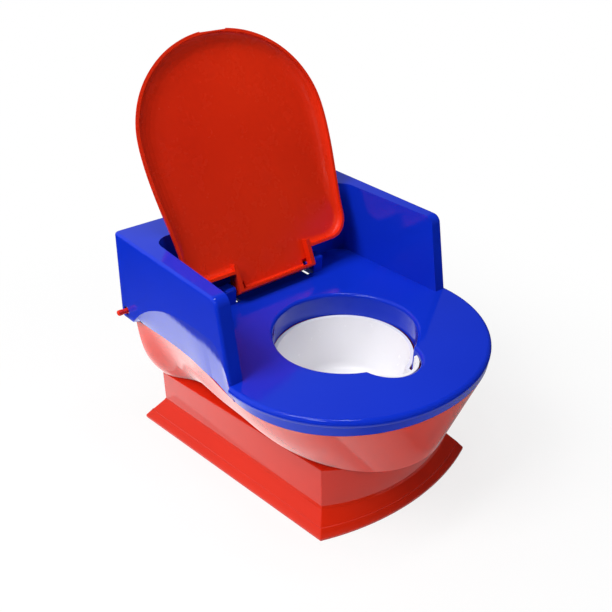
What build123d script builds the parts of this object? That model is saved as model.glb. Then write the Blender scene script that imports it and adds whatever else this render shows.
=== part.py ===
"""Potty training chair: foot, bowl, hinged seat with arms, hinged lid, lift-out pan and hinge rod.

Millimetres, +Z up.  The seat faces -Y, the back rest is at +Y and X runs across the seat.
Every piece is drawn in one drawing frame and moved back by DEPTH_SHIFT, so that the frame's
origin lies under the middle of the closed-up envelope with the lid leaning back.
"""
import os
from math import cos, radians, sin, pi

from build123d import *

# ---- envelope ------------------------------------------------------------------------
DEPTH_SHIFT = 16.93         # drawing frame to part frame, along Y
HALF_WIDTH = 145.0          # outer side panels of the seat housing
REAR_Y = 161.5              # rear face of the seat housing
SEAT_Z = 150.0              # sitting surface
ARM_Z = SEAT_Z + 80.0       # top of the arms and of the back
PART_Z = SEAT_Z - 15.4      # parting between the seat housing and the bowl
LEDGE_Z = 62.8              # flat ledge on top of the pedestal
CREASE_Z = 21.3             # where the pedestal turns into the flared foot
WALL = 2.6                  # general moulded wall
BEYOND = 2 * HALF_WIDTH + 110.0     # cutting blocks reach clear of the chair

# ---- clearances ----------------------------------------------------------------------
SEAT_GAP = 0.3              # housing's lower edge above the bowl's rim
REST_GAP = 0.3              # lid against the back, pan on the bowl's floor
LIFT_GAP = 2.0              # pan inside the seat opening, all round
PIN_GAP = 0.05              # pins and rod in the holes that turn on them, per side

# ---- pedestal and foot ---------------------------------------------------------------
LEDGE_FRONT_HALF = 87.0
LEDGE_FRONT_Y = -89.4
LEDGE_BOW_Y = -119.0
LEDGE_REAR_HALF = 116.4
LEDGE_REAR_Y = 136.6
LEDGE_MARGIN = 0.3          # the bowl's rear corners stand this far inside the ledge
CREASE_FRONT_HALF = 88.9
CREASE_FRONT_Y = -95.0
CREASE_BOW_Y = -118.7
CREASE_REAR_HALF = 112.1
CREASE_REAR_Y = 141.6
FOOT_FRONT_HALF = 104.1
FOOT_FRONT_Y = -111.6
FOOT_BOW_Y = -131.5
FOOT_REAR_HALF = 133.1
FOOT_REAR_Y = 151.5
FOOT_LIP = 2.2              # upright lip round the bottom edge
FOOT_BORDER = 4.8           # width of the raised border along that lip
FOOT_BORDER_PROUD = 0.7
CREASE_COVE = 1.3           # small cove between the flare and the upright part
FOOT_EDGE_R = 1.6           # upright corners of the pedestal
LEDGE_EDGE_R = 1.0
DECK_HOLE_X = 150.0         # locating hole in the ledge deck
DECK_HOLE_Y = 130.0
DECK_HOLE_R = 20.0
DECK_HOLE_MIDDLE_Y = 10.0
SPIGOT_DEPTH = 5.0          # ring under the bowl that drops into the hole
SPIGOT_WALL = 3.0

# ---- bowl ----------------------------------------------------------------------------
BOWL_TOP_Z = PART_Z - SEAT_GAP
BOWL_TOP_FRONT_Y = -159.0
BOWL_TOP_HALF = HALF_WIDTH - 2.8
BOWL_TOP_START_Y = -40.0    # the front curve starts here
BOWL_TOP_WAIST = HALF_WIDTH - 11.0          # narrowest place of the top outline
BOWL_TOP_WAIST_Y = 68.0
BOWL_TOP_REAR_HALF = HALF_WIDTH - 6.3
BOWL_TOP_REAR_Y = REAR_Y - 18.5
BOWL_LOW_FRONT_Y = BOWL_TOP_FRONT_Y + 19.4
BOWL_LOW_HALF = LEDGE_REAR_HALF - 20.4
BOWL_LOW_START_Y = -10.0
BOWL_LOW_WAIST = BOWL_LOW_HALF
BOWL_LOW_WAIST_Y = 60.0
BOWL_LOW_REAR_HALF = LEDGE_REAR_HALF - LEDGE_MARGIN     # the rear corners spread to the edge
BOWL_LOW_REAR_Y = LEDGE_REAR_Y - LEDGE_MARGIN
BOWL_SPREAD_Y = 106.0       # the spread starts here on the ledge
BOWL_BULGE_REAR = 6.2       # the wall bows outward between ledge and parting
BOWL_BULGE_SIDE = 2.4
BOWL_BULGE_FRONT = 0.6
BOWL_WALL = 2.8
BOWL_FLOOR = 3.0
BOWL_BACK_Z = 94.0          # low middle of the bowl's rear wall
BOWL_BACK_HALF = 112.0      # half width of that low middle
TOP_POWER = 2.06            # front curves: 2 is an ellipse, a little more is fuller
LOW_POWER = 2.08

# ---- hinge rod -----------------------------------------------------------------------
ROD_Y = REAR_Y - 12.5
ROD_Z = SEAT_Z - 5.0
ROD_R = 2.75
ROD_HALF = HALF_WIDTH + 10.5
ROD_TIP_R = 3.1
ROD_TIP_LENGTH = 6.0
EAR_R = 7.5
EAR_OUT_X = BOWL_TOP_REAR_HALF - 6.1
EAR_IN_X = EAR_OUT_X - 5.6
EAR_ROOT_Y = ROD_Y - 27.0
EAR_ROOT_Z = PART_Z - 16.6

# ---- seat housing --------------------------------------------------------------------
REAR_CORNER_R = 5.0
ARM_FRONT_TOP_Y = -10.0
ARM_FRONT_LOW_Y = ARM_FRONT_TOP_Y - 18.0
ARM_FRONT_R = 10.0
TOP_EDGE_R = 3.2
INNER_FRONT_HALF = HALF_WIDTH - 14.0        # between the arms, at their tops
INNER_REAR_HALF = HALF_WIDTH - 20.0
INNER_LOW_HALF = HALF_WIDTH - 15.0          # between the arms, at the seat
INNER_LOW_REAR_HALF = HALF_WIDTH - 22.0
BACK_TOP_Y = REAR_Y - 40.0  # front face of the back rest, at its top
BACK_LOW_Y = BACK_TOP_Y - 6.0
BACK_CORNER_R = 18.0
RIM_HALF = HALF_WIDTH + 1.5
RIM_START_Y = -30.0
RIM_SIDE_Y = 40.0
RIM_FRONT_Y = BOWL_TOP_FRONT_Y - 2.4
RIM_DEPTH = 9.0
RIM_POWER = 2.03
RIM_R = 4.3
BAND_TOP_Z = SEAT_Z - 6.8   # the band under the rim runs into the rim's lower rounding here
BAND_TOP_INSET = 0.6
BAND_WALL = WALL + 0.4      # the leaning band is a little thicker
SEAT_FLOOR = 3.6
REAR_EDGE_Z = SEAT_Z + 2.0  # lower edge of the rear wall, between the side panels
REAR_EDGE_HALF = HALF_WIDTH - 5.5
ROD_HOLE_R = 4.6            # oversize hole in the side panel
SCOOP_TOP_Z = SEAT_Z + 36.0 # crown of the scooped recess in each side
SCOOP_CROWN_Y = 8.0
SCOOP_REAR_Y = REAR_Y - 26.5 # the arch comes down to the parting here
SCOOP_REAR_Z = PART_Z + 2.4
SCOOP_TAIL_Y = REAR_Y - 0.5 # a thin tail runs on to the rear corner
SCOOP_FRONT_Y = ARM_FRONT_LOW_Y - 3.0
SCOOP_FRONT_Z = PART_Z + 6.4
SCOOP_RUN_ON = 3.0          # clear of the arm's front edge
SCOOP_WAIST_HALF = BOWL_TOP_WAIST + 0.2
SCOOP_FRONT_HALF = BOWL_TOP_HALF + 0.4

# ---- opening in the seat -------------------------------------------------------------
OVAL_HALF = 75.6
OVAL_Y = -26.0
OVAL_FRONT = 66.6
OVAL_REAR = 72.7
OVAL_POWER = 1.93
LOBE_HALF = 32.0
LOBE_Y = -80.0
LOBE_LENGTH = 34.0
CUSP_R = 4.0
OPENING_R = 3.4
OPENING_LIP = 7.0           # width of the thickened ring round the opening
OPENING_LIP_Z = SEAT_Z - 7.0
SKIRT_Z = SEAT_Z - 26.0
SKIRT_WALL = 2.4
SKIRT_END_Y = LOBE_Y - 6.0
POST_R = 6.5                # the skirt's ends turn round the cusps within this radius

# ---- lid and its hinge ---------------------------------------------------------------
LID_LEAN = 25.3             # degrees back from upright when open
LID_Y = BACK_LOW_Y - 37.3   # lower edge of the tab's front face, open
LID_Z = SEAT_Z + 13.8
PIVOT_UP = 3.41             # pivot along the lid from that edge
PIVOT_BACK = 11.44          # pivot behind the rim plane
LID_TAB_TOP = 21.0
LID_LOW_HALF = INNER_REAR_HALF - 18.0
LID_CORNER_R = 24.0
LID_HALF = INNER_REAR_HALF - 9.0
LID_WIDEST = 158.0
LID_TOP = 261.5
LID_DEPTH = 10.2
LID_SKIN = 2.5
LID_LIP = 3.2
LID_COVE = 20.0
LID_LOW_COVE = 0.42         # share of the cove's width along the lower edge
TAB_HALF = 51.0
TAB_CHEEK = 4.6
TAB_EDGE = 1.2              # chamfer on the tab's lower front edge
TAB_LIP = 3.6
TAB_WELL = 7.0              # well round each pin: up the tab from the pivot to the dish's floor
TAB_WELL_WIDE = 5.0         # and from the cheek inwards, past the pin's end
KNUCKLE_R = 6.0
NOTCH_HALF = 16.0
NOTCH_DEPTH = 1.6
PIN_R = 2.7
PIN_IN_X = TAB_HALF - 6.4
LUG_IN_X = TAB_HALF + 2.5
LUG_OUT_X = LUG_IN_X + 12.5
LUG_FRONT_Y = LID_Y + 6.3
LUG_REAR_Y = LUG_FRONT_Y + 14.5
LUG_TOP_Z = SEAT_Z + 18.5
SLOT_IN_X = TAB_HALF - 4.7  # slot in the seat floor under each pin
SLOT_OUT_X = LUG_IN_X
SLOT_FRONT_Y = LUG_FRONT_Y + 2.1
SLOT_REAR_Y = LUG_REAR_Y + 7.0

# ---- pan -----------------------------------------------------------------------------
PAN_RIM_Z = SKIRT_Z + 0.6
PAN_WALL = 2.2
PAN_FLOOR_Z = LEDGE_Z + BOWL_FLOOR + REST_GAP
PAN_RIM_HALF = OVAL_HALF - LIFT_GAP
PAN_FLOOR_HALF = 58.0
PAN_FLOOR_FRONT_Y = -76.0
PAN_FLOOR_REAR_Y = 30.0
PAN_LIP = 1.4
PAN_EDGE_R = 10.0
GUARD_HALF = LOBE_HALF - 2.2
GUARD_FRONT_Y = LOBE_Y - LOBE_LENGTH + LIFT_GAP
GUARD_WALL = 3.4
GUARD_TOP_Z = SEAT_Z - 3.4
GUARD_BACK_Y = LOBE_Y - 2.0
GUARD_END_Y = SKIRT_END_Y - POST_R - 2.0 # above the flange the guard stops clear of the skirt's ends
GUARD_SPOUT_Z = 96.0


def pivot_y():
    """Lid pivot, in the drawing frame."""
    return LID_Y + PIVOT_UP * sin(radians(LID_LEAN)) + PIVOT_BACK * cos(radians(LID_LEAN))


def pivot_z():
    return LID_Z + PIVOT_UP * cos(radians(LID_LEAN)) - PIVOT_BACK * sin(radians(LID_LEAN))


def front_curve(half, start_y, front_y, power, count=9):
    """Quarter of a full ellipse, from the side to the middle of the front."""
    points = []
    for step in range(count + 1):
        turn = 0.5 * pi * step / count
        x = half * abs(cos(turn)) ** (2 / power)
        y = start_y + (front_y - start_y) * abs(sin(turn)) ** (2 / power)
        points.append((x, y))
    points[-1] = (0.0, front_y)
    return points


def outline_face(side_points, z):
    """Closed face from points down the +X side to the front middle, mirrored, square at the rear."""
    right = [(x, y, z) for x, y in side_points]
    left = [(-x, y, z) for x, y in reversed(side_points[:-1])]
    curve = Spline(*(right + left))
    closing = Line(curve @ 1, curve @ 0)
    return make_face(curve + closing)


def top_outline(inset):
    """Bowl outline at the parting: a slight waist, then the front curve."""
    waist = BOWL_TOP_WAIST - inset
    rear = BOWL_TOP_REAR_HALF - inset
    side = [(rear, BOWL_TOP_REAR_Y - inset)]
    side.append((rear - 1.2, BOWL_TOP_REAR_Y - 14))
    side.append((rear - 2.4, BOWL_TOP_REAR_Y - 26))
    side.append((waist + 1.0, BOWL_TOP_WAIST_Y + 32))
    side.append((waist, BOWL_TOP_WAIST_Y))
    side.append((waist + 2.8, (BOWL_TOP_WAIST_Y + BOWL_TOP_START_Y) / 2 + 4))
    return side + front_curve(BOWL_TOP_HALF - inset, BOWL_TOP_START_Y,
                              BOWL_TOP_FRONT_Y + inset, TOP_POWER)


def low_outline(inset):
    """Bowl outline on the ledge: straight sides, spreading to the pedestal's edge at the rear."""
    waist = BOWL_LOW_WAIST - inset
    rear = BOWL_LOW_REAR_HALF - inset
    side = [(rear, BOWL_LOW_REAR_Y - inset)]
    side.append((rear - 4.2, BOWL_SPREAD_Y + 15))
    side.append((rear - 11.5, BOWL_SPREAD_Y + 4.5))
    side.append((waist + 1.6, BOWL_SPREAD_Y - 6))
    side.append((waist, BOWL_LOW_WAIST_Y))
    side.append((waist, (BOWL_LOW_WAIST_Y + BOWL_LOW_START_Y) / 2))
    return side + front_curve(BOWL_LOW_HALF - inset, BOWL_LOW_START_Y,
                              BOWL_LOW_FRONT_Y + inset, LOW_POWER)


def blend_outline(share, bulge, inset):
    """Outline part of the way up the bowl: 0 is the ledge, 1 the parting; bulge is 0 to 1."""
    low = low_outline(inset)
    top = top_outline(inset)
    mixed = []
    for (x0, y0), (x1, y1) in zip(low, top):
        x = x0 + (x1 - x0) * share
        y = y0 + (y1 - y0) * share
        rear_share = min(1.0, max(0.0, (y - 40.0) / 80.0))
        side_share = min(1.0, max(0.0, (y + 120.0) / 120.0))
        bow = BOWL_BULGE_FRONT + (BOWL_BULGE_SIDE - BOWL_BULGE_FRONT) * side_share
        bow = bow + (BOWL_BULGE_REAR - BOWL_BULGE_SIDE) * rear_share
        mixed.append((x * (1 + bulge * bow / 118.0), y))
    return mixed

# ---- foot ----------------------------------------------------------------------------
def pedestal_plan(front_half, front_y, bow_y, rear_half, rear_y, inset, z):
    """Flared plan: square rear corners, straight sides and a bowed front edge."""
    fl = (-front_half + inset, front_y + 0.6 * inset, z)
    fr = (front_half - inset, front_y + 0.6 * inset, z)
    bow = (0, bow_y + inset, z)
    rl = (-rear_half + inset, rear_y - inset, z)
    rr = (rear_half - inset, rear_y - inset, z)
    edges = Line(rr, rl) + Line(rl, fl) + ThreePointArc(fl, bow, fr) + Line(fr, rr)
    plan = make_face(edges)
    return fillet(plan.vertices(), max(FOOT_EDGE_R - 0.4 * inset, 0.3))


def foot_plan(share, proud, inset, z_shift):
    """Plan of the flare: share 0 is the crease, 1 the foot's edge; proud lifts it a little."""
    front_half = CREASE_FRONT_HALF + (FOOT_FRONT_HALF - CREASE_FRONT_HALF) * share
    front_y = CREASE_FRONT_Y + (FOOT_FRONT_Y - CREASE_FRONT_Y) * share
    bow_y = CREASE_BOW_Y + (FOOT_BOW_Y - CREASE_BOW_Y) * share
    rear_half = CREASE_REAR_HALF + (FOOT_REAR_HALF - CREASE_REAR_HALF) * share
    rear_y = CREASE_REAR_Y + (FOOT_REAR_Y - CREASE_REAR_Y) * share
    z = CREASE_Z + (FOOT_LIP - CREASE_Z) * share + proud + z_shift
    return pedestal_plan(front_half, front_y, bow_y, rear_half, rear_y, inset, z)


def pedestal_stack(inset, foot_z, top_z, z_shift):
    """Foot and upright part; inset and z_shift make the smaller copy for the hollow."""
    foot = pedestal_plan(FOOT_FRONT_HALF, FOOT_FRONT_Y, FOOT_BOW_Y, FOOT_REAR_HALF,
                         FOOT_REAR_Y, inset, foot_z)
    reach = FOOT_FRONT_HALF - CREASE_FRONT_HALF
    proud = 0 if inset else FOOT_BORDER_PROUD
    steps = [foot, foot_plan(1, 0, inset, z_shift)]
    steps.append(foot_plan(1 - FOOT_BORDER / reach, proud, inset, z_shift))
    steps.append(foot_plan(1 - (FOOT_BORDER + 0.5) / reach, 0, inset, z_shift))
    steps.append(foot_plan(CREASE_COVE / reach, 0, inset, z_shift))
    steps.append(pedestal_plan(CREASE_FRONT_HALF, CREASE_FRONT_Y, CREASE_BOW_Y, CREASE_REAR_HALF,
                               CREASE_REAR_Y, inset, CREASE_Z + CREASE_COVE + z_shift))
    steps.append(pedestal_plan(LEDGE_FRONT_HALF, LEDGE_FRONT_Y, LEDGE_BOW_Y, LEDGE_REAR_HALF,
                               LEDGE_REAR_Y, inset, top_z))
    return loft(steps, ruled=True)


def make_pedestal():
    outer = pedestal_stack(0, 0, LEDGE_Z, 0)
    ledge_edges = outer.edges().filter_by(lambda e: e.bounding_box().min.Z > LEDGE_Z - 0.01)
    outer = fillet(ledge_edges, LEDGE_EDGE_R)
    inner = pedestal_stack(WALL, -1, LEDGE_Z - WALL, -1.5)
    hole = RectangleRounded(DECK_HOLE_X, DECK_HOLE_Y, DECK_HOLE_R)
    hole = extrude(Pos(0, DECK_HOLE_MIDDLE_Y, LEDGE_Z - 10) * hole, 20)
    return outer - inner - hole

# ---- bowl ----------------------------------------------------------------------------
def bowl_stack(inset, low_z, low_share, top_z):
    height = PART_Z - LEDGE_Z
    low = outline_face(blend_outline(low_share, 0, inset), low_z)
    quarter = outline_face(blend_outline(0.21, 0.9, inset), LEDGE_Z + 0.21 * height)
    middle = outline_face(blend_outline(0.52, 1.0, inset), LEDGE_Z + 0.52 * height)
    share = (top_z - LEDGE_Z) / height
    top = outline_face(blend_outline(share, 0, inset), top_z)
    return loft([low, quarter, middle, top])


def make_ear(side):
    """Flat ear from the bowl's rear corner up to the rod."""
    width = EAR_OUT_X - EAR_IN_X
    eye = Pos(0, 0, 0) * Cylinder(EAR_R, width, rotation=(0, 90, 0))
    eye = Pos(side * (EAR_OUT_X + EAR_IN_X) / 2, ROD_Y, ROD_Z) * eye
    profile = Polyline((EAR_ROOT_Y, EAR_ROOT_Z), (EAR_ROOT_Y + 17, EAR_ROOT_Z),
                       (ROD_Y - 3.0, ROD_Z - 6.8), (ROD_Y + 1.5, ROD_Z + 7.3),
                       (ROD_Y - 3, ROD_Z + 6.8), (EAR_ROOT_Y + 4, ROD_Z - 8.5),
                       (EAR_ROOT_Y, ROD_Z - 9.5), close=True)
    arm = extrude(Plane.YZ * make_face(profile), width / 2, both=True)
    arm = Pos(side * (EAR_OUT_X + EAR_IN_X) / 2, 0, 0) * arm
    return eye + arm


def make_bowl():
    outer = bowl_stack(0, LEDGE_Z, 0, BOWL_TOP_Z)
    inner = bowl_stack(BOWL_WALL, LEDGE_Z + BOWL_FLOOR, 0.03, PART_Z + 2)
    body = outer - inner
    low_back = Box(2 * BOWL_BACK_HALF, 60, 60, align=(Align.CENTER, Align.MIN, Align.MIN))
    body = body - Pos(0, 112, BOWL_BACK_Z) * low_back
    spigot = RectangleRounded(DECK_HOLE_X - 0.6, DECK_HOLE_Y - 0.6, DECK_HOLE_R - 0.3)
    spigot = spigot - RectangleRounded(DECK_HOLE_X - 2 * SPIGOT_WALL, DECK_HOLE_Y - 2 * SPIGOT_WALL,
                                       DECK_HOLE_R - SPIGOT_WALL)
    body = body + extrude(Pos(0, DECK_HOLE_MIDDLE_Y, LEDGE_Z - SPIGOT_DEPTH) * spigot, SPIGOT_DEPTH + 1)
    above = Box(BEYOND, 80, 40, align=(Align.CENTER, Align.CENTER, Align.MIN))
    above = Pos(0, ROD_Y, BOWL_TOP_Z - 0.4) * above
    for side in (-1, 1):
        ear = make_ear(side)
        body = body + (ear & outer) + (ear & above)
    bore = Cylinder(ROD_R, BEYOND, rotation=(0, 90, 0))
    return body - Pos(0, ROD_Y, ROD_Z) * bore

# ---- seat housing --------------------------------------------------------------------
def arm_profile(inset, low_z):
    """Side view of the arms and back, facing +X."""
    slope = (ARM_FRONT_TOP_Y - ARM_FRONT_LOW_Y) / (ARM_Z - SEAT_Z)
    low_y = ARM_FRONT_LOW_Y - slope * (SEAT_Z - low_z) + inset
    top_y = ARM_FRONT_TOP_Y + inset - slope * inset
    sketch = make_face(Polyline((low_y, low_z), (REAR_Y - inset, low_z),
                                (REAR_Y - inset, ARM_Z - inset), (top_y, ARM_Z - inset), close=True))
    corner = sketch.vertices().sort_by(Axis.Y)[-2:].sort_by(Axis.X)[0]
    return fillet(corner, ARM_FRONT_R - 0.6 * inset)


def arm_block(inset, low_z):
    block = extrude(Plane.YZ * arm_profile(inset, low_z), HALF_WIDTH - inset, both=True)
    rear = block.edges().filter_by(Axis.Z).group_by(Axis.Y)[-1]
    return fillet(rear, REAR_CORNER_R - 0.5 * inset)


def soften_arms(block):
    """Rounds the outer edges of both arms and of the back, all but the lower ones."""
    side_edges = block.edges().filter_by(lambda e: abs(abs(e.center().X) - HALF_WIDTH) < 0.01
                                         and e.bounding_box().max.Z > PART_Z + 1
                                         and e.center().Y < REAR_Y - REAR_CORNER_R - 0.1)
    rear_edges = block.edges().filter_by(lambda e: e.bounding_box().min.Z > ARM_Z - 0.01
                                         and e.center().Y > REAR_Y - REAR_CORNER_R - 0.1)
    return fillet(side_edges + rear_edges, TOP_EDGE_R)


def between_arms(inset, low_z):
    """The space between the arms: narrower at the rear and at the seat."""
    steps = []
    for z in (low_z, ARM_Z + 2):
        share = (z - SEAT_Z) / (ARM_Z - SEAT_Z)
        front = INNER_LOW_HALF + (INNER_FRONT_HALF - INNER_LOW_HALF) * share + inset
        rear = INNER_LOW_REAR_HALF + (INNER_REAR_HALF - INNER_LOW_REAR_HALF) * share + inset
        back = BACK_LOW_Y + (BACK_TOP_Y - BACK_LOW_Y) * share + inset
        plan = make_face(Polyline((-front - 1.8, -60), (front + 1.8, -60), (rear, back),
                                  (-rear, back), close=True))
        corners = plan.vertices().group_by(Axis.Y)[-1]
        steps.append(Pos(0, 0, z) * fillet(corners, BACK_CORNER_R + inset))
    return loft(steps, ruled=True)


def scoop_station(y, lower_half, crown_z, shift):
    """Cross-section of the side scoop: a leaning line from the parting up to the side panel."""
    lean = (HALF_WIDTH - lower_half) / (crown_z - PART_Z)
    low = (lower_half - shift - lean * 4, y, PART_Z - 4)
    high = (HALF_WIDTH + 3 - shift, y, crown_z + 3 / lean)
    outer = (HALF_WIDTH + 3, y, crown_z + 3 / lean)
    corner = (HALF_WIDTH + 3, y, PART_Z - 4)
    if shift:
        return make_face(Polyline(low, high, outer, corner, close=True))
    return make_face(Polyline(low, high, corner, close=True))


def make_scoop(shift):
    """Solid that is cut from the +X side: shallow, arched and deepest at the parting."""
    stations = []
    for step in range(25):
        y = SCOOP_TAIL_Y + (SCOOP_FRONT_Y - SCOOP_TAIL_Y) * step / 24
        if y > SCOOP_REAR_Y:
            reach = (y - SCOOP_REAR_Y) / (SCOOP_TAIL_Y - SCOOP_REAR_Y)
            crown = SCOOP_REAR_Z - 1.2 * reach
            lower = BOWL_TOP_REAR_HALF - 0.6 + 6.0 * reach ** 1.5
        elif y > SCOOP_CROWN_Y:
            reach = (y - SCOOP_CROWN_Y) / (SCOOP_REAR_Y - SCOOP_CROWN_Y)
            crown = SCOOP_REAR_Z + (SCOOP_TOP_Z - SCOOP_REAR_Z) * (1 - reach ** 2.5) ** 0.8
            far = max(0.0, (reach - 0.5) / 0.5)
            lower = SCOOP_WAIST_HALF + (BOWL_TOP_REAR_HALF - 0.6 - SCOOP_WAIST_HALF) * far ** 1.6
            near = max(0.0, 1 - reach / 0.4)
            lower = lower + 3.0 * near * near * (3 - 2 * near)
        else:
            reach = (SCOOP_CROWN_Y - y) / (SCOOP_CROWN_Y - SCOOP_FRONT_Y)
            crown = SCOOP_FRONT_Z + (SCOOP_TOP_Z - SCOOP_FRONT_Z) * (1 - reach ** 3.4) ** 1.45
            lower = SCOOP_WAIST_HALF + 3.0 + (SCOOP_FRONT_HALF - SCOOP_WAIST_HALF - 3.0) * reach
        stations.append(scoop_station(y, lower, crown, shift))
    stations.append(scoop_station(SCOOP_FRONT_Y - SCOOP_RUN_ON, lower, crown, shift))
    return loft(stations, ruled=True)


def rim_face(inset, z):
    """Outline of the seat in front of the arms; its rear part lies inside them."""
    side = [(RIM_HALF - 5.0 - inset, RIM_SIDE_Y), (RIM_HALF - 2.7 - inset, RIM_SIDE_Y - 38)]
    side = side + front_curve(RIM_HALF - inset, RIM_START_Y, RIM_FRONT_Y + inset, RIM_POWER)
    return outline_face(side, z)


def parting_face(inset, z):
    """Outline of the bowl's parting with the same stations as the rim."""
    side = [(BOWL_TOP_WAIST + 1.0 - inset, RIM_SIDE_Y), (BOWL_TOP_WAIST + 4.8 - inset, RIM_SIDE_Y - 38)]
    side = side + front_curve(BOWL_TOP_HALF - inset, BOWL_TOP_START_Y,
                              BOWL_TOP_FRONT_Y + inset, TOP_POWER)
    return outline_face(side, z)


def oval_face(grow, z):
    """The oval part of the opening, fuller towards the rear."""
    points = []
    count = 40
    for step in range(count):
        turn = 2 * pi * step / count
        reach = OVAL_REAR if sin(turn) > 0 else OVAL_FRONT
        x = (OVAL_HALF + grow) * abs(cos(turn)) ** (2 / OVAL_POWER) * (1 if cos(turn) > 0 else -1)
        y = (reach + grow) * abs(sin(turn)) ** (2 / OVAL_POWER) * (1 if sin(turn) > 0 else -1)
        points.append((x, OVAL_Y + y, z))
    return make_face(Spline(*points, periodic=True))


def lobe_face(grow, z):
    ring = Ellipse(LOBE_HALF + grow, LOBE_LENGTH + grow)
    return Pos(0, LOBE_Y, z) * ring


def keyhole(grow, z):
    """Outline of the opening: an oval with a round lobe in front."""
    shape = oval_face(grow, 0) + lobe_face(grow, 0)
    shape = shape.faces()[0]
    cusps = [v for v in shape.vertices() if -98 < v.Y < -70 and abs(v.X) > 15]
    shape = fillet(cusps, CUSP_R)
    return Pos(0, 0, z) * shape


def make_lug(side):
    width = LUG_OUT_X - LUG_IN_X
    profile = make_face(Polyline((LUG_FRONT_Y, SEAT_Z - 2), (LUG_REAR_Y, SEAT_Z - 2),
                                 (LUG_REAR_Y, LUG_TOP_Z), (LUG_FRONT_Y, LUG_TOP_Z), close=True))
    top = profile.vertices().group_by(Axis.Y)[-1]
    block = extrude(Plane.YZ * fillet(top, 3.0), width / 2, both=True)
    block = Pos(side * (LUG_IN_X + LUG_OUT_X) / 2, 0, 0) * block
    length = LUG_IN_X - PIN_IN_X + 2
    pin = Cylinder(PIN_R, length, rotation=(0, 90, 0))
    pin = Pos(side * (PIN_IN_X + length / 2), pivot_y(), pivot_z()) * pin
    return block + pin


def seat_band(inset):
    """Leaning band from the parting out to the rim, in front of the arms."""
    low = parting_face(inset, PART_Z)
    high = rim_face(inset + BAND_TOP_INSET, BAND_TOP_Z)
    return loft([low, high], ruled=True)


def make_housing():
    scoop = make_scoop(0)
    scoops = scoop + mirror(scoop, Plane.YZ)
    block = arm_block(0, PART_Z)
    block = soften_arms(block)
    block = block - between_arms(0, SEAT_Z)
    block = block - scoops
    rim = extrude(rim_face(0, SEAT_Z - RIM_DEPTH), RIM_DEPTH)
    edges = rim.edges().filter_by(lambda e: abs(e.bounding_box().size.Z) < 0.1
                                  and e.bounding_box().min.Y < -100)
    rim = fillet(edges, RIM_R)
    beside = Box(BEYOND, BEYOND, BEYOND, align=(Align.CENTER, Align.MIN, Align.CENTER))
    beside = Pos(0, SCOOP_FRONT_Y + 3, SEAT_Z) * beside
    rim = rim - (scoops & beside)
    ahead = Box(BEYOND, BEYOND, BEYOND, align=(Align.CENTER, Align.MAX, Align.CENTER))
    ahead = Pos(0, SCOOP_FRONT_Y + 4, SEAT_Z) * ahead
    band = seat_band(0) & ahead
    solid = block + rim + band

    hollow = arm_block(WALL, PART_Z - 4) - between_arms(WALL, SEAT_Z - SEAT_FLOOR)
    inner_scoop = make_scoop(WALL)
    hollow = hollow - inner_scoop - mirror(inner_scoop, Plane.YZ)
    under = extrude(outline_face(blend_outline(1, 0, WALL), PART_Z - 4),
                    SEAT_Z - SEAT_FLOOR - PART_Z + 4)
    ahead = Pos(0, -WALL, 0) * ahead
    solid = solid - hollow - under - (seat_band(BAND_WALL) & ahead)

    lip = extrude(keyhole(OPENING_LIP, OPENING_LIP_Z), SEAT_Z - OPENING_LIP_Z - 1)
    skirt = extrude(oval_face(SKIRT_WALL, SKIRT_Z), SEAT_Z - 2 - SKIRT_Z)
    front_trim = Pos(0, -130, 120) * Box(2 * LOBE_HALF, 2 * (130 + SKIRT_END_Y), 46)
    turn = keyhole(SKIRT_WALL + 0.6, 0) - keyhole(0, 0)
    posts = Pos(LOBE_HALF, SKIRT_END_Y) * Circle(POST_R) + Pos(-LOBE_HALF, SKIRT_END_Y) * Circle(POST_R)
    posts = turn & posts
    posts = extrude(Pos(0, 0, SKIRT_Z) * posts, SEAT_Z - 2 - SKIRT_Z)
    solid = solid + lip + (skirt - front_trim) + posts
    cutter = extrude(keyhole(0, SKIRT_Z - 5), 60)
    solid = solid - cutter
    mouth = solid.edges().filter_by(lambda e: abs(e.center().Z - SEAT_Z) < 0.05
                                    and abs(e.center().X) < OVAL_HALF + 2
                                    and e.bounding_box().max.Y < 52
                                    and e.bounding_box().min.Y > -118)
    solid = fillet(mouth, OPENING_R)

    for side in (-1, 1):
        slot = Box(SLOT_OUT_X - SLOT_IN_X, SLOT_REAR_Y - SLOT_FRONT_Y, 30)
        middle = (SLOT_OUT_X + SLOT_IN_X) / 2
        solid = solid - Pos(side * middle, (SLOT_FRONT_Y + SLOT_REAR_Y) / 2, SEAT_Z) * slot
        solid = solid + make_lug(side)
    rear_gap = Box(2 * REAR_EDGE_HALF, 40, 60, align=(Align.CENTER, Align.MIN, Align.MAX))
    solid = solid - Pos(0, REAR_Y - WALL - 2, REAR_EDGE_Z) * rear_gap
    bore = Cylinder(ROD_HOLE_R, BEYOND, rotation=(0, 90, 0))
    return solid - Pos(0, ROD_Y, ROD_Z) * bore

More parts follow.
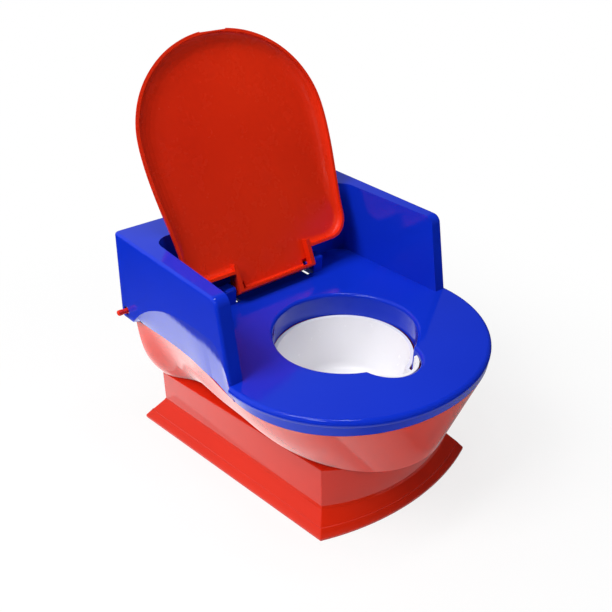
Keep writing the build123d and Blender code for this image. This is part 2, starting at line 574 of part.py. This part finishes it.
# ---- lid -----------------------------------------------------------------------------
def lid_face(inset, depth, cove=0.0):
    """Lid outline drawn towards its centre; x across, y up the lid, z into its depth.

    The cove is drawn in less along the lower edge than round the sides.
    """
    centre = 140.0
    corner = LID_CORNER_R
    half = [(0.0, LID_TAB_TOP), (45.0, LID_TAB_TOP), (78.0, LID_TAB_TOP + 0.2)]
    for turn in (25, 50, 75):
        x = LID_LOW_HALF - corner + corner * sin(radians(turn))
        y = LID_TAB_TOP + corner - corner * cos(radians(turn))
        half.append((x, y))
    half.append((LID_LOW_HALF + 0.6, LID_TAB_TOP + corner + 8))
    half.append(((LID_LOW_HALF + LID_HALF) / 2, 92.0))
    half.append((LID_HALF - 0.6, 130.0))
    arc = front_curve(LID_HALF, LID_WIDEST, LID_TOP, 2.05, 8)
    half = half + arc
    points = half + [(-x, y) for x, y in reversed(half[1:-1])]
    moved = []
    for x, y in points:
        length = (x * x + (y - centre) ** 2) ** 0.5
        low_share = min(1.0, max(0.0, (LID_TAB_TOP + 2 * LID_CORNER_R - y) / LID_CORNER_R))
        width = inset + cove * (1 - low_share * (1 - LID_LOW_COVE))
        scale = 1 - width / length
        moved.append((x * scale, centre + (y - centre) * scale, depth))
    return make_face(Spline(*moved, periodic=True))


def make_lid():
    """Shallow dish with a hinge tab, drawn flat and then stood up leaning back."""
    outer = loft([lid_face(0, 0), lid_face(1.0, 4.0), lid_face(4.5, 8.0), lid_face(12, LID_DEPTH)],
                 ruled=True)
    floor = LID_DEPTH - LID_SKIN
    steps = [lid_face(LID_LIP, -0.5)]
    for turn in range(0, 91, 15):
        across = LID_COVE * (1 - cos(radians(turn)))
        steps.append(lid_face(LID_LIP, floor * (0.12 + 0.88 * sin(radians(turn))), across))
    inner = loft(steps, ruled=True)
    lid = outer - inner
    notch = Box(2 * NOTCH_HALF, 8, 40, align=(Align.CENTER, Align.MIN, Align.CENTER))
    lid = lid - Pos(0, LID_TOP - NOTCH_DEPTH, 0) * notch
    # the tab is a trough as deep as the knuckle, open at the front like the dish
    shell = make_face(Polyline((LID_TAB_TOP + 9, 0.0), (TAB_EDGE, 0.0), (0.0, TAB_EDGE),
                               (-1.9, PIVOT_BACK - 2.6), (PIVOT_UP, PIVOT_BACK + KNUCKLE_R),
                               (PIVOT_UP + 5, PIVOT_BACK + KNUCKLE_R - 1.0),
                               (LID_TAB_TOP + 9, LID_DEPTH), close=True))
    shell = shell + Pos(PIVOT_UP, PIVOT_BACK) * Circle(KNUCKLE_R)
    run_in = LID_TAB_TOP + LID_LIP + LID_COVE * LID_LOW_COVE + 3.0
    well = PIVOT_BACK + PIN_R + 0.3
    trough = make_face(Polyline((run_in, -2.0), (TAB_LIP, -2.0), (TAB_LIP, floor - 1.5),
                                (TAB_LIP + 1.5, floor), (run_in, floor), close=True))
    pocket = make_face(Polyline((PIVOT_UP + TAB_WELL, -2.0), (TAB_LIP, -2.0), (TAB_LIP - 1.0, well),
                                (PIVOT_UP + 2.5, well), (PIVOT_UP + TAB_WELL, floor), close=True))
    inside = TAB_HALF - TAB_CHEEK
    between_pins = PIN_IN_X - TAB_WELL_WIDE
    pockets = extrude(Plane.YZ * pocket, inside, both=True)
    pockets = pockets - extrude(Plane.YZ * pocket, between_pins, both=True)
    tab = extrude(Plane.YZ * shell, TAB_HALF, both=True)
    lid = lid + tab - extrude(Plane.YZ * trough, inside, both=True) - pockets
    bore = Cylinder(PIN_R + PIN_GAP, BEYOND, rotation=(0, 90, 0))
    bore = bore - Cylinder(PIN_R + 1, 2 * between_pins, rotation=(0, 90, 0))
    lid = lid - Pos(0, PIVOT_UP, PIVOT_BACK) * bore
    # local x, up the lid and into its depth -> drawing frame
    place = Plane(origin=(0, LID_Y, LID_Z), x_dir=(-1, 0, 0),
                  z_dir=(0, cos(radians(LID_LEAN)), -sin(radians(LID_LEAN))))
    return place * lid


# ---- pan -----------------------------------------------------------------------------
def pan_face(half, front_y, rear_y, z):
    points = []
    count = 32
    middle = (front_y + rear_y) / 2
    for step in range(count):
        turn = 2 * pi * step / count
        points.append((half * cos(turn), middle + (rear_y - front_y) / 2 * sin(turn), z))
    return make_face(Spline(*points, periodic=True))


def pan_stack(inset, low_z, high_z):
    front = OVAL_Y - OVAL_FRONT + LIFT_GAP + PAN_LIP
    rear = OVAL_Y + OVAL_REAR - LIFT_GAP - PAN_LIP
    low = pan_face(PAN_FLOOR_HALF - inset, PAN_FLOOR_FRONT_Y + inset, PAN_FLOOR_REAR_Y - inset, low_z)
    high = pan_face(PAN_RIM_HALF - PAN_LIP - inset, front + inset, rear - inset, high_z)
    return loft([low, high], ruled=True)


def make_pan():
    outer = pan_stack(0, PAN_FLOOR_Z, PAN_RIM_Z)
    floor_edge = outer.edges().filter_by(lambda e: abs(e.center().Z - PAN_FLOOR_Z) < 0.1)
    outer = fillet(floor_edge, PAN_EDGE_R)
    flange = pan_face(PAN_RIM_HALF, OVAL_Y - OVAL_FRONT + LIFT_GAP, OVAL_Y + OVAL_REAR - LIFT_GAP, 0)
    flange = extrude(Pos(0, 0, PAN_RIM_Z - 2.4) * flange, 2.4)
    spout_plan = Pos(0, GUARD_BACK_Y, 0) * Ellipse(GUARD_HALF, GUARD_BACK_Y - GUARD_FRONT_Y)
    front_half = Pos(0, GUARD_BACK_Y, 0) * Rectangle(200, 100, align=(Align.CENTER, Align.MAX))
    straight = Pos(0, GUARD_BACK_Y) * Rectangle(2 * GUARD_HALF, 12, align=(Align.CENTER, Align.MIN))
    spout = (spout_plan & front_half) + straight
    spout = extrude(Pos(0, 0, GUARD_SPOUT_Z) * spout, GUARD_TOP_Z - GUARD_SPOUT_Z)
    inner = pan_stack(PAN_WALL, PAN_FLOOR_Z + PAN_WALL, PAN_RIM_Z + 0.1)
    floor_edge = inner.edges().filter_by(lambda e: abs(e.center().Z - PAN_FLOOR_Z - PAN_WALL) < 0.1)
    inner = fillet(floor_edge, PAN_EDGE_R - PAN_WALL)
    spout_in = Pos(0, GUARD_BACK_Y, 0) * Ellipse(GUARD_HALF - GUARD_WALL,
                                                 GUARD_BACK_Y - GUARD_FRONT_Y - GUARD_WALL)
    straight = Pos(0, GUARD_BACK_Y) * Rectangle(2 * (GUARD_HALF - GUARD_WALL), 40,
                                                align=(Align.CENTER, Align.MIN))
    spout_in = (spout_in & front_half) + straight
    spout_in = extrude(Pos(0, 0, GUARD_SPOUT_Z + PAN_WALL) * spout_in, 80)
    keep = Pos(0, GUARD_END_Y, PAN_RIM_Z) * Box(200, 200, 60,
                                                    align=(Align.CENTER, Align.MIN, Align.MIN))
    return outer + flange + (spout - keep) - inner - spout_in


def make_rod():
    rod = Cylinder(ROD_R, 2 * (ROD_HALF - ROD_TIP_R), rotation=(0, 90, 0))
    for side in (-1, 1):
        tip = Cylinder(ROD_TIP_R, ROD_TIP_LENGTH, rotation=(0, 90, 0))
        tip = fillet(tip.edges(), 1.6)
        rod = rod + Pos(side * (ROD_HALF - ROD_TIP_LENGTH / 2), 0, 0) * tip
    return Pos(0, ROD_Y, ROD_Z) * rod


def main():
    os.makedirs("parts", exist_ok=True)
    pieces = (
        ("pedestal_base", make_pedestal()),
        ("bowl_body", make_bowl()),
        ("seat_housing", make_housing()),
        ("lid", make_lid()),
        ("pan", make_pan()),
        ("hinge_rod", make_rod()),
    )
    for name, piece in pieces:
        shape = Pos(0, -DEPTH_SHIFT, 0) * piece
        export_step(shape, os.path.join("parts", name + ".step"))
        box = shape.bounding_box()
        print(name, len(shape.solids()), round(shape.volume / 1000, 1),
              [round(v, 2) for v in (box.min.X, box.min.Y, box.min.Z, box.max.X, box.max.Y, box.max.Z)])


main()
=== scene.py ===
"""Potty training chair: finishes, studio and camera."""
from math import cos, radians, sin

import bpy
from mathutils import Matrix, Vector

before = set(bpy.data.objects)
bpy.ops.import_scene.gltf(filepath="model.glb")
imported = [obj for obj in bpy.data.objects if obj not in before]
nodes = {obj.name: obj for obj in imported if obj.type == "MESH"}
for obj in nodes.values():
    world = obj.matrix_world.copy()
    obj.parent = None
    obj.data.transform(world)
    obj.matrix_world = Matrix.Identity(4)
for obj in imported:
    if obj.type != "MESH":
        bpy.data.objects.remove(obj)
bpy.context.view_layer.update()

# ---- colours of the three plastics, linear ---------------------------------------------
RED = (0.73, 0.024, 0.005)
DEEP_RED = (0.60, 0.014, 0.003)
# The foot's two reds are the bowl's red made darker: painted shade low down, near the floor.
FOOT_RED_PAINTED_SHADE = (0.64, 0.021, 0.004)
DEEP_FOOT_RED_PAINTED_SHADE = (0.56, 0.013, 0.003)
LID_RED = (0.77, 0.024, 0.003)
DEEP_LID_RED = (0.52, 0.006, 0.0)
BLUE = (0.004, 0.028, 0.54)
DEEP_BLUE = (0.003, 0.020, 0.44)
WHITE = (0.80, 0.795, 0.81)
DEEP_WHITE = (0.76, 0.755, 0.775)
DUST = (0.42, 0.37, 0.33, 1)
PLASTIC_IOR = 1.52
DRIFT_SCALE = 7.0           # noise scales, in cycles per metre
SCUFF_SCALE = 46.0
RIPPLE_SCALE = 24.0
GRAIN_SCALE = 520.0
GRAIN_SHARE = 0.035         # of the ripple's height
SCUFF_ROUGHNESS = 0.14      # added where a rub mark is full
DUST_SHARE = 0.10           # at the floor
BUMP_STRENGTH = 0.25
COLOUR_A, COLOUR_B, COLOUR_OUT = 6, 7, 2    # sockets of a Mix node for colours

# ---- studio, metres --------------------------------------------------------------------
SWEEP_DARK = 0.26           # how bright the floor looks in reflections, front right
SWEEP_BRIGHT = 2.5          # and rear left
SWEEP_DIRECTION = (-0.6, 0.8, 0.0)
SWEEP_START = -0.17         # along that direction
SWEEP_END = 0.33
SWEEP_EASE = 0.6            # power that lifts the middle of the change
SWEEP_NEAR = 0.256          # a mirrored ray that travels further than this finds the floor dark
SWEEP_FAR = 0.270
FOOTPRINT_X = 0.145
FOOTPRINT_Y = 0.160
FLOOR_SIZE = 16.0
FLOOR_GLOW = 0.80           # share of plain white in the floor beside the chair
SHADOW_NEAR = 0.05
SHADOW_FAR = 0.45           # no shadow is left this far from the footprint
WALL_DIRECTION = (-0.51, 0.86, 0.0)
WALL_DARK = 0.06
WALL_BRIGHT = 0.7
LAMP_AIM = (0.0, 0.0, 0.15)
OVERHEAD_LAMPS = 3
OVERHEAD_FIRST_X = -0.65
OVERHEAD_STEP_X = 0.45

# ---- camera ----------------------------------------------------------------------------
AZIMUTH, ELEVATION, ROLL = radians(-42.028), radians(30.801), radians(1.985)
CAMERA_PLACE = (-0.4800, -0.51373, 0.5774)
FOCAL_LENGTH = 805.6 / 612.0            # in widths of the picture
SENSOR_WIDTH = 36.0


# ---- small helpers for node trees ------------------------------------------------------
def add(tree, kind, **settings):
    node = tree.nodes.new(kind)
    for name, value in settings.items():
        setattr(node, name, value)
    return node


def join(tree, source, target):
    tree.links.new(source, target)


# ---- shared surface effects ------------------------------------------------------------
def build_moulded_group():
    """Moulded plastic: slow shade drift, fine flow ripple, rub marks and floor dust low down."""
    group = bpy.data.node_groups.new("moulded_plastic", "ShaderNodeTree")
    face = group.interface
    face.new_socket("Colour", in_out="INPUT", socket_type="NodeSocketColor")
    face.new_socket("Deep Colour", in_out="INPUT", socket_type="NodeSocketColor")
    face.new_socket("Gloss", in_out="INPUT", socket_type="NodeSocketFloat")
    face.new_socket("Rub", in_out="INPUT", socket_type="NodeSocketFloat")
    face.new_socket("Dust Height", in_out="INPUT", socket_type="NodeSocketFloat")
    face.new_socket("Colour", in_out="OUTPUT", socket_type="NodeSocketColor")
    face.new_socket("Roughness", in_out="OUTPUT", socket_type="NodeSocketFloat")
    face.new_socket("Height", in_out="OUTPUT", socket_type="NodeSocketFloat")
    into = add(group, "NodeGroupInput")
    out = add(group, "NodeGroupOutput")
    place = add(group, "ShaderNodeTexCoord")

    drift = add(group, "ShaderNodeTexNoise")
    drift.inputs["Scale"].default_value = DRIFT_SCALE
    drift.inputs["Detail"].default_value = 2.0
    join(group, place.outputs["Object"], drift.inputs["Vector"])
    drift_range = add(group, "ShaderNodeMapRange")
    drift_range.inputs["From Min"].default_value = 0.35
    drift_range.inputs["From Max"].default_value = 0.7
    drift_range.inputs["To Max"].default_value = 0.35
    join(group, drift.outputs["Fac"], drift_range.inputs["Value"])
    shade = add(group, "ShaderNodeMix", data_type="RGBA")
    join(group, drift_range.outputs["Result"], shade.inputs[0])
    join(group, into.outputs["Colour"], shade.inputs[COLOUR_A])
    join(group, into.outputs["Deep Colour"], shade.inputs[COLOUR_B])

    scuff = add(group, "ShaderNodeTexNoise")
    scuff.inputs["Scale"].default_value = SCUFF_SCALE
    scuff.inputs["Detail"].default_value = 6.0
    scuff.inputs["Roughness"].default_value = 0.62
    join(group, place.outputs["Object"], scuff.inputs["Vector"])
    scuff_range = add(group, "ShaderNodeMapRange")
    scuff_range.inputs["From Min"].default_value = 0.56
    scuff_range.inputs["From Max"].default_value = 0.78
    join(group, scuff.outputs["Fac"], scuff_range.inputs["Value"])
    rub = add(group, "ShaderNodeMath", operation="MULTIPLY")
    join(group, scuff_range.outputs["Result"], rub.inputs[0])
    join(group, into.outputs["Rub"], rub.inputs[1])

    split = add(group, "ShaderNodeSeparateXYZ")
    join(group, place.outputs["Object"], split.inputs["Vector"])
    dust = add(group, "ShaderNodeMapRange")
    dust.inputs["From Min"].default_value = 0.0
    dust.inputs["To Min"].default_value = DUST_SHARE
    dust.inputs["To Max"].default_value = 0.0
    join(group, split.outputs["Z"], dust.inputs["Value"])
    join(group, into.outputs["Dust Height"], dust.inputs["From Max"])
    grime = add(group, "ShaderNodeMath", operation="MULTIPLY")
    join(group, dust.outputs["Result"], grime.inputs[0])
    join(group, scuff.outputs["Fac"], grime.inputs[1])
    dusted = add(group, "ShaderNodeMix", data_type="RGBA")
    dusted.inputs[COLOUR_B].default_value = DUST
    join(group, grime.outputs[0], dusted.inputs[0])
    join(group, shade.outputs[COLOUR_OUT], dusted.inputs[COLOUR_A])
    join(group, dusted.outputs[COLOUR_OUT], out.inputs["Colour"])

    rough = add(group, "ShaderNodeMath", operation="MULTIPLY_ADD")
    rough.inputs[1].default_value = SCUFF_ROUGHNESS
    join(group, rub.outputs[0], rough.inputs[0])
    join(group, into.outputs["Gloss"], rough.inputs[2])
    rough_dust = add(group, "ShaderNodeMath", operation="ADD")
    join(group, rough.outputs[0], rough_dust.inputs[0])
    join(group, grime.outputs[0], rough_dust.inputs[1])
    join(group, rough_dust.outputs[0], out.inputs["Roughness"])

    ripple = add(group, "ShaderNodeTexNoise")
    ripple.inputs["Scale"].default_value = RIPPLE_SCALE
    ripple.inputs["Detail"].default_value = 1.0
    join(group, place.outputs["Object"], ripple.inputs["Vector"])
    grain = add(group, "ShaderNodeTexNoise")
    grain.inputs["Scale"].default_value = GRAIN_SCALE
    grain.inputs["Detail"].default_value = 1.0
    join(group, place.outputs["Object"], grain.inputs["Vector"])
    fine = add(group, "ShaderNodeMath", operation="MULTIPLY")
    fine.inputs[1].default_value = GRAIN_SHARE
    join(group, grain.outputs["Fac"], fine.inputs[0])
    height = add(group, "ShaderNodeMath", operation="ADD")
    join(group, ripple.outputs["Fac"], height.inputs[0])
    join(group, fine.outputs[0], height.inputs[1])
    join(group, height.outputs[0], out.inputs["Height"])
    return group


def build_sweep_group():
    """How bright the white sweep looks in reflections: most at the rear left, little in front."""
    group = bpy.data.node_groups.new("sweep_level", "ShaderNodeTree")
    face = group.interface
    face.new_socket("Dark End", in_out="INPUT", socket_type="NodeSocketFloat")
    face.new_socket("Bright End", in_out="INPUT", socket_type="NodeSocketFloat")
    face.new_socket("Level", in_out="OUTPUT", socket_type="NodeSocketFloat")
    into = add(group, "NodeGroupInput")
    out = add(group, "NodeGroupOutput")
    place = add(group, "ShaderNodeTexCoord")
    along = add(group, "ShaderNodeVectorMath", operation="DOT_PRODUCT")
    along.inputs[1].default_value = SWEEP_DIRECTION
    join(group, place.outputs["Object"], along.inputs[0])
    share = add(group, "ShaderNodeMapRange")
    share.inputs["From Min"].default_value = SWEEP_START
    share.inputs["From Max"].default_value = SWEEP_END
    join(group, along.outputs["Value"], share.inputs["Value"])
    eased = add(group, "ShaderNodeMath", operation="POWER")
    join(group, share.outputs["Result"], eased.inputs[0])
    eased.inputs[1].default_value = SWEEP_EASE
    level = add(group, "ShaderNodeMapRange")
    join(group, eased.outputs["Value"], level.inputs["Value"])
    join(group, into.outputs["Dark End"], level.inputs["To Min"])
    join(group, into.outputs["Bright End"], level.inputs["To Max"])
    join(group, level.outputs["Result"], out.inputs["Level"])
    return group


moulded = build_moulded_group()
sweep = build_sweep_group()


def plastic(name, colour, deep, gloss, rub, dust_height, ripple, specular=0.5, tint=(1, 1, 1),
            glow=0.0, painted_reflection_share=0.0):
    """Plastic of one colour, with the shared moulded surface.

    glow is painted light: the piece gives off its own colour as if lit, which brightens it
    evenly. The last argument is a painted reflection: that share of glossy rays which meet the
    piece see a white glow at the sweep's level instead of the plastic, so pieces that mirror it
    show it pale.
    """
    material = bpy.data.materials.new(name)
    material.use_nodes = True
    tree = material.node_tree
    shader = tree.nodes["Principled BSDF"]
    surface = add(tree, "ShaderNodeGroup", node_tree=moulded)
    surface.inputs["Colour"].default_value = (*colour, 1)
    surface.inputs["Deep Colour"].default_value = (*deep, 1)
    surface.inputs["Gloss"].default_value = gloss
    surface.inputs["Rub"].default_value = rub
    surface.inputs["Dust Height"].default_value = dust_height
    join(tree, surface.outputs["Colour"], shader.inputs["Base Color"])
    join(tree, surface.outputs["Roughness"], shader.inputs["Roughness"])
    bump = add(tree, "ShaderNodeBump")
    bump.inputs["Strength"].default_value = BUMP_STRENGTH
    bump.inputs["Distance"].default_value = ripple
    join(tree, surface.outputs["Height"], bump.inputs["Height"])
    join(tree, bump.outputs["Normal"], shader.inputs["Normal"])
    shader.inputs["IOR"].default_value = PLASTIC_IOR
    shader.inputs["Specular IOR Level"].default_value = specular
    shader.inputs["Specular Tint"].default_value = (*tint, 1)
    # Painted light: a piece with glow gives off its own colour as if lit.
    shader.inputs["Emission Strength"].default_value = glow
    join(tree, surface.outputs["Colour"], shader.inputs["Emission Color"])
    # Painted reflection: glossy rays that meet the piece see a white glow at the sweep's level,
    # mixed in at the given share, in place of the plastic.
    if painted_reflection_share:
        output = tree.nodes["Material Output"]
        path = add(tree, "ShaderNodeLightPath")
        share = add(tree, "ShaderNodeMath", operation="MULTIPLY")
        share.inputs[1].default_value = painted_reflection_share
        join(tree, path.outputs["Is Glossy Ray"], share.inputs[0])
        painted_reflection_glow = add(tree, "ShaderNodeEmission")
        level = add(tree, "ShaderNodeGroup", node_tree=sweep)
        level.inputs["Dark End"].default_value = SWEEP_DARK
        level.inputs["Bright End"].default_value = SWEEP_BRIGHT
        join(tree, level.outputs["Level"], painted_reflection_glow.inputs["Strength"])
        mix = add(tree, "ShaderNodeMixShader")
        join(tree, share.outputs[0], mix.inputs[0])
        join(tree, shader.outputs[0], mix.inputs[1])
        join(tree, painted_reflection_glow.outputs[0], mix.inputs[2])
        join(tree, mix.outputs[0], output.inputs["Surface"])
    return material


red = plastic("gloss_red", RED, DEEP_RED, gloss=0.08, rub=1.0, dust_height=0.006, ripple=0.0006,
              specular=0.36)
# The foot: a darker red that is painted shade, and a painted reflection that shows it pale in the
# gloss of the bowl above it.
foot_red_painted_light = plastic("foot_red_painted_light", FOOT_RED_PAINTED_SHADE, DEEP_FOOT_RED_PAINTED_SHADE, gloss=0.07, rub=1.0, dust_height=0.006,
                   ripple=0.0006, specular=0.36, painted_reflection_share=0.5)
lid_red = plastic("satin_red", LID_RED, DEEP_LID_RED, gloss=0.27, rub=1.3, dust_height=0.001,
                  ripple=0.0004, specular=0.34)
blue = plastic("gloss_blue", BLUE, DEEP_BLUE, gloss=0.08, rub=0.7, dust_height=0.001, ripple=0.0006,
               specular=0.34, tint=(0.82, 1.0, 1.0))
# The pan glows faintly in its own white: painted light that brightens its inside evenly.
white = plastic("satin_white", WHITE, DEEP_WHITE, gloss=0.25, rub=0.6, dust_height=0.001,
                ripple=0.0005, glow=0.05)

finishes = {"pedestal_base": foot_red_painted_light, "bowl_body": red, "lid": lid_red, "hinge_rod": red,
            "seat_housing": blue, "pan": white}
for name, material in finishes.items():
    mesh = nodes[name].data
    mesh.materials.clear()
    mesh.materials.append(material)


# ---- floor, lamps and camera -----------------------------------------------------------
def seen_directly(tree):
    """Two masks: camera, transmission and glossy rays, and the same without the glossy ones."""
    path = add(tree, "ShaderNodeLightPath")
    most = add(tree, "ShaderNodeMath", operation="MAXIMUM")
    join(tree, path.outputs["Is Camera Ray"], most.inputs[0])
    join(tree, path.outputs["Is Transmission Ray"], most.inputs[1])
    every = add(tree, "ShaderNodeMath", operation="MAXIMUM")
    join(tree, most.outputs[0], every.inputs[0])
    join(tree, path.outputs["Is Glossy Ray"], every.inputs[1])
    return every.outputs[0], most.outputs[0]


def beyond_footprint(tree):
    """Distance on the floor from the box that the chair stands in."""
    place = add(tree, "ShaderNodeTexCoord")
    fold = add(tree, "ShaderNodeVectorMath", operation="ABSOLUTE")
    join(tree, place.outputs["Object"], fold.inputs[0])
    past = add(tree, "ShaderNodeVectorMath", operation="SUBTRACT")
    past.inputs[1].default_value = (FOOTPRINT_X, FOOTPRINT_Y, 0.0)
    join(tree, fold.outputs["Vector"], past.inputs[0])
    clip = add(tree, "ShaderNodeVectorMath", operation="MAXIMUM")
    clip.inputs[1].default_value = (0.0, 0.0, 0.0)
    join(tree, past.outputs["Vector"], clip.inputs[0])
    reach = add(tree, "ShaderNodeVectorMath", operation="LENGTH")
    join(tree, clip.outputs["Vector"], reach.inputs[0])
    return reach.outputs["Value"]


def build_floor():
    """Plain white floor that keeps the shadow; in reflections it fades to grey away from the set."""
    bpy.ops.object.select_all(action="DESELECT")
    bpy.ops.mesh.primitive_plane_add(size=FLOOR_SIZE, location=(0, 0, 0))
    floor = bpy.context.object
    floor.name = "studio_floor"
    material = bpy.data.materials.new("studio_white")
    material.use_nodes = True
    tree = material.node_tree
    paint = tree.nodes["Principled BSDF"]
    output = tree.nodes["Material Output"]
    noise = add(tree, "ShaderNodeTexNoise")
    noise.inputs["Scale"].default_value = 3.0
    ramp = add(tree, "ShaderNodeMapRange")
    ramp.inputs["To Min"].default_value = 0.86
    ramp.inputs["To Max"].default_value = 0.90
    join(tree, noise.outputs["Fac"], ramp.inputs["Value"])
    join(tree, ramp.outputs["Result"], paint.inputs["Base Color"])
    paint.inputs["Roughness"].default_value = 0.9
    paint.inputs["Specular IOR Level"].default_value = 0.1

    reach = beyond_footprint(tree)
    path = add(tree, "ShaderNodeLightPath")
    fade = add(tree, "ShaderNodeMapRange", interpolation_type="SMOOTHSTEP")
    fade.inputs["From Min"].default_value = SWEEP_NEAR
    fade.inputs["From Max"].default_value = SWEEP_FAR
    fade.inputs["To Min"].default_value = 1.0
    fade.inputs["To Max"].default_value = 0.0
    join(tree, path.outputs["Ray Length"], fade.inputs["Value"])
    near = add(tree, "ShaderNodeGroup", node_tree=sweep)
    near.inputs["Dark End"].default_value = SWEEP_DARK
    near.inputs["Bright End"].default_value = SWEEP_BRIGHT
    mirrored = add(tree, "ShaderNodeMath", operation="MULTIPLY")
    join(tree, near.outputs["Level"], mirrored.inputs[0])
    join(tree, fade.outputs["Result"], mirrored.inputs[1])
    every, direct = seen_directly(tree)
    level = add(tree, "ShaderNodeMix", data_type="FLOAT")
    level.inputs[3].default_value = 1.0
    join(tree, direct, level.inputs[0])
    join(tree, mirrored.outputs[0], level.inputs[2])
    glow = add(tree, "ShaderNodeEmission")
    glow.inputs["Color"].default_value = (1, 1, 1, 1)
    join(tree, level.outputs[0], glow.inputs["Strength"])
    spread = add(tree, "ShaderNodeMapRange", interpolation_type="SMOOTHSTEP")
    spread.inputs["From Min"].default_value = SHADOW_NEAR
    spread.inputs["From Max"].default_value = SHADOW_FAR
    spread.inputs["To Min"].default_value = FLOOR_GLOW
    spread.inputs["To Max"].default_value = 1.0
    join(tree, reach, spread.inputs["Value"])
    share = add(tree, "ShaderNodeMath", operation="MULTIPLY")
    join(tree, every, share.inputs[0])
    join(tree, spread.outputs["Result"], share.inputs[1])
    mix = add(tree, "ShaderNodeMixShader")
    join(tree, share.outputs[0], mix.inputs[0])
    join(tree, paint.outputs[0], mix.inputs[1])
    join(tree, glow.outputs[0], mix.inputs[2])
    join(tree, mix.outputs[0], output.inputs["Surface"])
    floor.data.materials.append(material)


build_floor()


def softbox(name, place, aim, size, power, mirrored=True):
    """Square area lamp; mirrored says whether the plastic reflects it."""
    light = bpy.data.lights.new(name, "AREA")
    light.shape = "SQUARE"
    light.size = size
    light.energy = power
    lamp = bpy.data.objects.new(name, light)
    bpy.context.scene.collection.objects.link(lamp)
    lamp.location = place
    lamp.visible_glossy = mirrored
    lamp.rotation_euler = (Vector(aim) - Vector(place)).to_track_quat("-Z", "Y").to_euler()


softbox("left_window", (-1.35, 0.3, 1.75), LAMP_AIM, 0.9, 34, mirrored=False)
for lamp_number in range(OVERHEAD_LAMPS):
    lamp_x = OVERHEAD_FIRST_X + OVERHEAD_STEP_X * lamp_number
    softbox("overhead_%d" % lamp_number, (lamp_x, 0.05, 1.7), LAMP_AIM, 0.22, 2.4)
softbox("corner_light", (-0.88, -0.6, 1.75), (0, 0, 0.1), 0.3, 3)
softbox("front_fill", (0.5, -1.7, 1.2), LAMP_AIM, 0.5, 6, mirrored=False)


def build_world():
    """Studio walls: bright behind and to the left, dark in front; the camera sees plain white."""
    world = bpy.data.worlds.new("studio")
    bpy.context.scene.world = world
    world.use_nodes = True
    tree = world.node_tree
    walls = tree.nodes["Background"]
    output = tree.nodes["World Output"]
    place = add(tree, "ShaderNodeTexCoord")
    along = add(tree, "ShaderNodeVectorMath", operation="DOT_PRODUCT")
    along.inputs[1].default_value = WALL_DIRECTION
    join(tree, place.outputs["Generated"], along.inputs[0])
    turn = add(tree, "ShaderNodeMapRange", interpolation_type="SMOOTHSTEP")
    turn.inputs["From Min"].default_value = -0.1
    turn.inputs["From Max"].default_value = 0.75
    turn.inputs["To Min"].default_value = WALL_DARK
    turn.inputs["To Max"].default_value = WALL_BRIGHT
    join(tree, along.outputs["Value"], turn.inputs["Value"])
    walls.inputs["Color"].default_value = (1, 1, 1, 1)
    join(tree, turn.outputs["Result"], walls.inputs["Strength"])
    plain = add(tree, "ShaderNodeBackground")
    plain.inputs["Color"].default_value = (1, 1, 1, 1)
    plain.inputs["Strength"].default_value = 1.0
    direct = seen_directly(tree)[1]
    mix = add(tree, "ShaderNodeMixShader")
    join(tree, direct, mix.inputs[0])
    join(tree, walls.outputs[0], mix.inputs[1])
    join(tree, plain.outputs[0], mix.inputs[2])
    join(tree, mix.outputs[0], output.inputs["Surface"])


build_world()

back = Vector((sin(AZIMUTH) * cos(ELEVATION), -cos(AZIMUTH) * cos(ELEVATION), sin(ELEVATION)))
level = (-back).cross(Vector((0, 0, 1))).normalized()
rise = level.cross(-back)
right = cos(ROLL) * level + sin(ROLL) * rise
up = -sin(ROLL) * level + cos(ROLL) * rise
camera = bpy.data.objects.new("camera", bpy.data.cameras.new("camera"))
bpy.context.scene.collection.objects.link(camera)
place = Matrix((right, up, back)).transposed().to_4x4()
place.translation = Vector(CAMERA_PLACE)
camera.matrix_world = place
camera.data.sensor_width = SENSOR_WIDTH
camera.data.lens = SENSOR_WIDTH * FOCAL_LENGTH
camera.data.clip_start = 0.01
bpy.context.scene.camera = camera
bpy.context.scene.view_settings.view_transform = "Standard"
